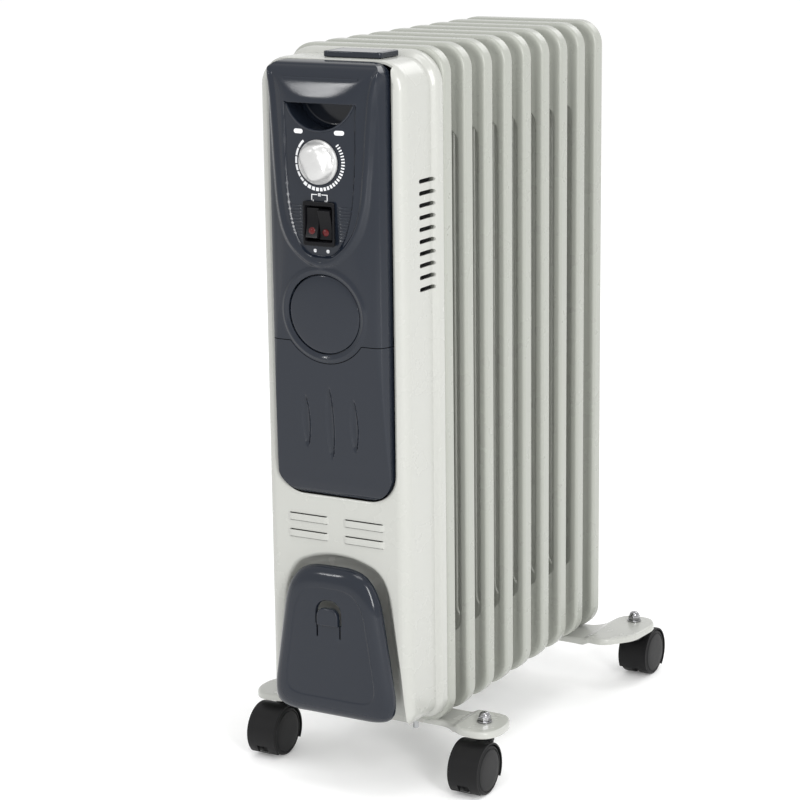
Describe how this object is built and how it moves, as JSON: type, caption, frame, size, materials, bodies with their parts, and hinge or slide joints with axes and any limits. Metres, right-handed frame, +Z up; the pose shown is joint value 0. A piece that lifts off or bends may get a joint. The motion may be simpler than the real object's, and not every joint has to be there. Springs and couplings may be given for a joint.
{
  "type": "oil filled radiator heater",
  "caption": "Free-standing oil filled electric radiator: steel fins in a row, front control housing with knob, rocker switches and cord store, on swivel casters.",
  "frame": {"origin": "on the floor, below the middle of the object's box", "axes": "+X to the right seen from the front, +Y from the control housing back along the fins, +Z up"},
  "size_m": [0.2488, 0.4662, 0.645],
  "materials": {
    "fin_paint": "satin baked enamel, warm light grey",
    "housing_paint": "gloss baked enamel, off-white",
    "slate_plastic": "gloss slate grey moulding",
    "knob_pearl": "pearl silver-white",
    "black_plastic": "black, fine texture",
    "caster_nylon": "black nylon, fine spark-eroded texture",
    "chrome_nut": "bright plated",
    "zinc_steel": "zinc plated",
    "element_steel": "drawn tube and brass-like hex head",
    "phenolic": "moulded phenolic"
  },
  "bodies": {
    "frame": {"badge_disc": "slate_plastic", "caster_front_left_cap_nut": "chrome_nut", "caster_front_left_stem": "zinc_steel", "caster_front_right_cap_nut": "chrome_nut", "caster_front_right_stem": "zinc_steel", "caster_rear_left_cap_nut": "chrome_nut", "caster_rear_left_stem": "zinc_steel", "caster_rear_right_cap_nut": "chrome_nut", "caster_rear_right_stem": "zinc_steel", "control_panel": "slate_plastic", "cord_gland": "black_plastic", "cord_hook_plate": "slate_plastic", "fin_1": "fin_paint", "fin_2": "fin_paint", "fin_3": "fin_paint", "fin_4": "fin_paint", "fin_5": "fin_paint", "fin_6": "fin_paint", "fin_7": "fin_paint", "fin_8": "fin_paint", "fin_9": "fin_paint", "front_bracket": "housing_paint", "front_u_bolt": "zinc_steel", "front_wing_nut_left": "zinc_steel", "front_wing_nut_right": "zinc_steel", "grip_cup": "slate_plastic", "heating_element": "element_steel", "housing_back_plate": "zinc_steel", "housing_shell": "housing_paint", "lower_cover": "slate_plastic", "oil_filler_plug": "zinc_steel", "rear_bracket": "housing_paint", "rear_u_bolt": "zinc_steel", "rear_wing_nut_left": "zinc_steel", "rear_wing_nut_right": "zinc_steel", "switch_frame": "black_plastic", "thermal_cutout": "phenolic", "thermostat_body": "phenolic", "tip_over_switch": "phenolic", "top_pad": "slate_plastic"},
    "caster_front_left_fork": {"caster_front_left_hood": "caster_nylon", "caster_front_left_axle": "zinc_steel"},
    "caster_front_left_wheel_left": {"caster_front_left_wheel_left": "caster_nylon"},
    "caster_front_left_wheel_right": {"caster_front_left_wheel_right": "caster_nylon"},
    "caster_front_right_fork": {"caster_front_right_hood": "caster_nylon", "caster_front_right_axle": "zinc_steel"},
    "caster_front_right_wheel_left": {"caster_front_right_wheel_left": "caster_nylon"},
    "caster_front_right_wheel_right": {"caster_front_right_wheel_right": "caster_nylon"},
    "caster_rear_left_fork": {"caster_rear_left_hood": "caster_nylon", "caster_rear_left_axle": "zinc_steel"},
    "caster_rear_left_wheel_left": {"caster_rear_left_wheel_left": "caster_nylon"},
    "caster_rear_left_wheel_right": {"caster_rear_left_wheel_right": "caster_nylon"},
    "caster_rear_right_fork": {"caster_rear_right_hood": "caster_nylon", "caster_rear_right_axle": "zinc_steel"},
    "caster_rear_right_wheel_left": {"caster_rear_right_wheel_left": "caster_nylon"},
    "caster_rear_right_wheel_right": {"caster_rear_right_wheel_right": "caster_nylon"},
    "knob": {"thermostat_knob": "knob_pearl"},
    "rocker_left": {"rocker_left": "black_plastic"},
    "rocker_right": {"rocker_right": "black_plastic"}
  },
  "joints": [
    {"name": "caster_front_left_swivel", "type": "hinge", "parent": "frame", "child": "caster_front_left_fork", "pos_m": [-0.103, -0.12829, 0.044], "axis": [0, 0, 1], "continuous": true},
    {"name": "caster_front_left_wheel_left_spin", "type": "hinge", "parent": "caster_front_left_fork", "child": "caster_front_left_wheel_left", "pos_m": [-0.103, -0.14729, 0.022], "axis": [1, 0, 0], "continuous": true},
    {"name": "caster_front_left_wheel_right_spin", "type": "hinge", "parent": "caster_front_left_fork", "child": "caster_front_left_wheel_right", "pos_m": [-0.103, -0.14729, 0.022], "axis": [1, 0, 0], "continuous": true},
    {"name": "caster_front_right_swivel", "type": "hinge", "parent": "frame", "child": "caster_front_right_fork", "pos_m": [0.103, -0.12829, 0.044], "axis": [0, 0, 1], "continuous": true},
    {"name": "caster_front_right_wheel_left_spin", "type": "hinge", "parent": "caster_front_right_fork", "child": "caster_front_right_wheel_left", "pos_m": [0.103, -0.14729, 0.022], "axis": [1, 0, 0], "continuous": true},
    {"name": "caster_front_right_wheel_right_spin", "type": "hinge", "parent": "caster_front_right_fork", "child": "caster_front_right_wheel_right", "pos_m": [0.103, -0.14729, 0.022], "axis": [1, 0, 0], "continuous": true},
    {"name": "caster_rear_left_swivel", "type": "hinge", "parent": "frame", "child": "caster_rear_left_fork", "pos_m": [-0.103, 0.18971, 0.044], "axis": [0, 0, 1], "continuous": true},
    {"name": "caster_rear_left_wheel_left_spin", "type": "hinge", "parent": "caster_rear_left_fork", "child": "caster_rear_left_wheel_left", "pos_m": [-0.103, 0.20871, 0.022], "axis": [1, 0, 0], "continuous": true},
    {"name": "caster_rear_left_wheel_right_spin", "type": "hinge", "parent": "caster_rear_left_fork", "child": "caster_rear_left_wheel_right", "pos_m": [-0.103, 0.20871, 0.022], "axis": [1, 0, 0], "continuous": true},
    {"name": "caster_rear_right_swivel", "type": "hinge", "parent": "frame", "child": "caster_rear_right_fork", "pos_m": [0.103, 0.18971, 0.044], "axis": [0, 0, 1], "continuous": true},
    {"name": "caster_rear_right_wheel_left_spin", "type": "hinge", "parent": "caster_rear_right_fork", "child": "caster_rear_right_wheel_left", "pos_m": [0.103, 0.20871, 0.022], "axis": [1, 0, 0], "continuous": true},
    {"name": "caster_rear_right_wheel_right_spin", "type": "hinge", "parent": "caster_rear_right_fork", "child": "caster_rear_right_wheel_right", "pos_m": [0.103, 0.20871, 0.022], "axis": [1, 0, 0], "continuous": true},
    {"name": "thermostat_turn", "type": "hinge", "parent": "frame", "child": "knob", "pos_m": [0, -0.22629, 0.5555], "axis": [0, -1, 0], "range_deg": [-150, 150]},
    {"name": "rocker_left_tilt", "type": "hinge", "parent": "frame", "child": "rocker_left", "pos_m": [0, -0.21709, 0.5045], "axis": [1, 0, 0], "range_deg": [0, 16]},
    {"name": "rocker_right_tilt", "type": "hinge", "parent": "frame", "child": "rocker_right", "pos_m": [0, -0.21709, 0.5045], "axis": [1, 0, 0], "range_deg": [-16, 0]}
  ]
}
